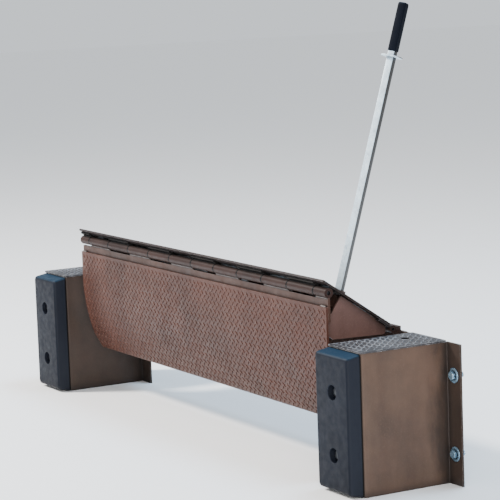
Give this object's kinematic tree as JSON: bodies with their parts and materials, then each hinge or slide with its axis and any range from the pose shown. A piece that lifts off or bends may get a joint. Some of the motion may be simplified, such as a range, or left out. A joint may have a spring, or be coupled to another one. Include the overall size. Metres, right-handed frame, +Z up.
{
  "type": "edge of dock leveler",
  "caption": "Hand-operated edge-of-dock leveler: hinged deck plate with a hanging tread-plate lip, square lift handle and a rubber bumper on a steel box at each side.",
  "frame": {"origin": "on the dock face, at mid-width, level with the dock floor", "axes": "+X along the dock edge, +Y into the dock, +Z up"},
  "size_m": [2.298, 0.4664, 1.4067],
  "materials": {
    "brown_paint": "satin",
    "tread_paint": "satin",
    "worn_tread": "worn",
    "bumper_rubber": "matt",
    "zinc_plate": "satin",
    "pin_steel": "satin",
    "spring_steel": "oiled",
    "galvanised": "satin",
    "grip_vinyl": "satin"
  },
  "bodies": {
    "frame": {"right_box_shell": "brown_paint", "right_box_top": "worn_tread", "right_bumper": "bumper_rubber", "right_bumper_bolts": "zinc_plate", "right_bumper_washers": "zinc_plate", "right_bumper_nuts": "zinc_plate", "right_anchor_bolts": "zinc_plate", "right_anchor_washers": "zinc_plate", "left_box_shell": "brown_paint", "left_box_top": "worn_tread", "left_bumper": "bumper_rubber", "left_bumper_bolts": "zinc_plate", "left_bumper_washers": "zinc_plate", "left_bumper_nuts": "zinc_plate", "left_anchor_bolts": "zinc_plate", "left_anchor_washers": "zinc_plate", "mounting_angle": "brown_paint", "approach_plate": "brown_paint", "hinge_bar": "brown_paint", "frame_knuckles": "brown_paint", "rear_hinge_pin": "pin_steel", "right_spring": "spring_steel", "left_spring": "spring_steel"},
    "deck": {"deck_plate": "brown_paint", "deck_front_leaf": "brown_paint", "deck_rear_leaf": "brown_paint", "deck_front_knuckles": "brown_paint", "deck_rear_knuckles": "brown_paint", "right_deck_skirt": "brown_paint", "left_deck_skirt": "brown_paint", "deck_ribs": "brown_paint", "pivot_bracket": "brown_paint", "lever_pivot_pin": "pin_steel"},
    "lip": {"lip_plate": "tread_paint", "lip_leaf": "brown_paint", "lip_knuckles": "brown_paint", "lip_hinge_pin": "pin_steel", "lip_lug": "brown_paint", "lug_pin": "pin_steel"},
    "lever": {"lever_socket": "brown_paint", "crank_arm": "brown_paint", "crank_pin": "pin_steel"},
    "link": {"push_link": "brown_paint"},
    "handle": {"handle_tube": "galvanised", "hand_guard": "galvanised", "hand_grip": "grip_vinyl", "handle_cap": "grip_vinyl"}
  },
  "joints": [
    {"name": "deck_hinge", "type": "hinge", "parent": "frame", "child": "deck", "pos_m": [0, -0.0305, 0.0142], "axis": [-1, 0, 0], "range_deg": [-46, 12], "stiffness_Nm_per_rad": 60, "springref_deg": 131.78},
    {"name": "lip_hinge", "type": "hinge", "parent": "deck", "child": "lip", "pos_m": [0, -0.2544, 0.1485], "axis": [-1, 0, 0], "range_deg": [0, 122]},
    {"name": "lever_pivot", "type": "hinge", "parent": "deck", "child": "lever", "pos_m": [0.746, -0.17929, 0.07328], "axis": [-1, 0, 0], "range_deg": [0, 72.26]},
    {"name": "link_pivot", "type": "hinge", "parent": "lever", "child": "link", "pos_m": [0.746, -0.16041, 0.00749], "axis": [-1, 0, 0], "range_deg": [-67.59, 0]},
    {"name": "handle_slide", "type": "slide", "parent": "lever", "child": "handle", "axis": [0, 0.2924, 0.9563], "range_m": [0, 0.045]}
  ],
  "couplings": [
    {"joint": "lever_pivot", "follows": "lip_hinge", "ratio": 0.58824},
    {"joint": "link_pivot", "follows": "lip_hinge", "ratio": -0.5499}
  ]
}
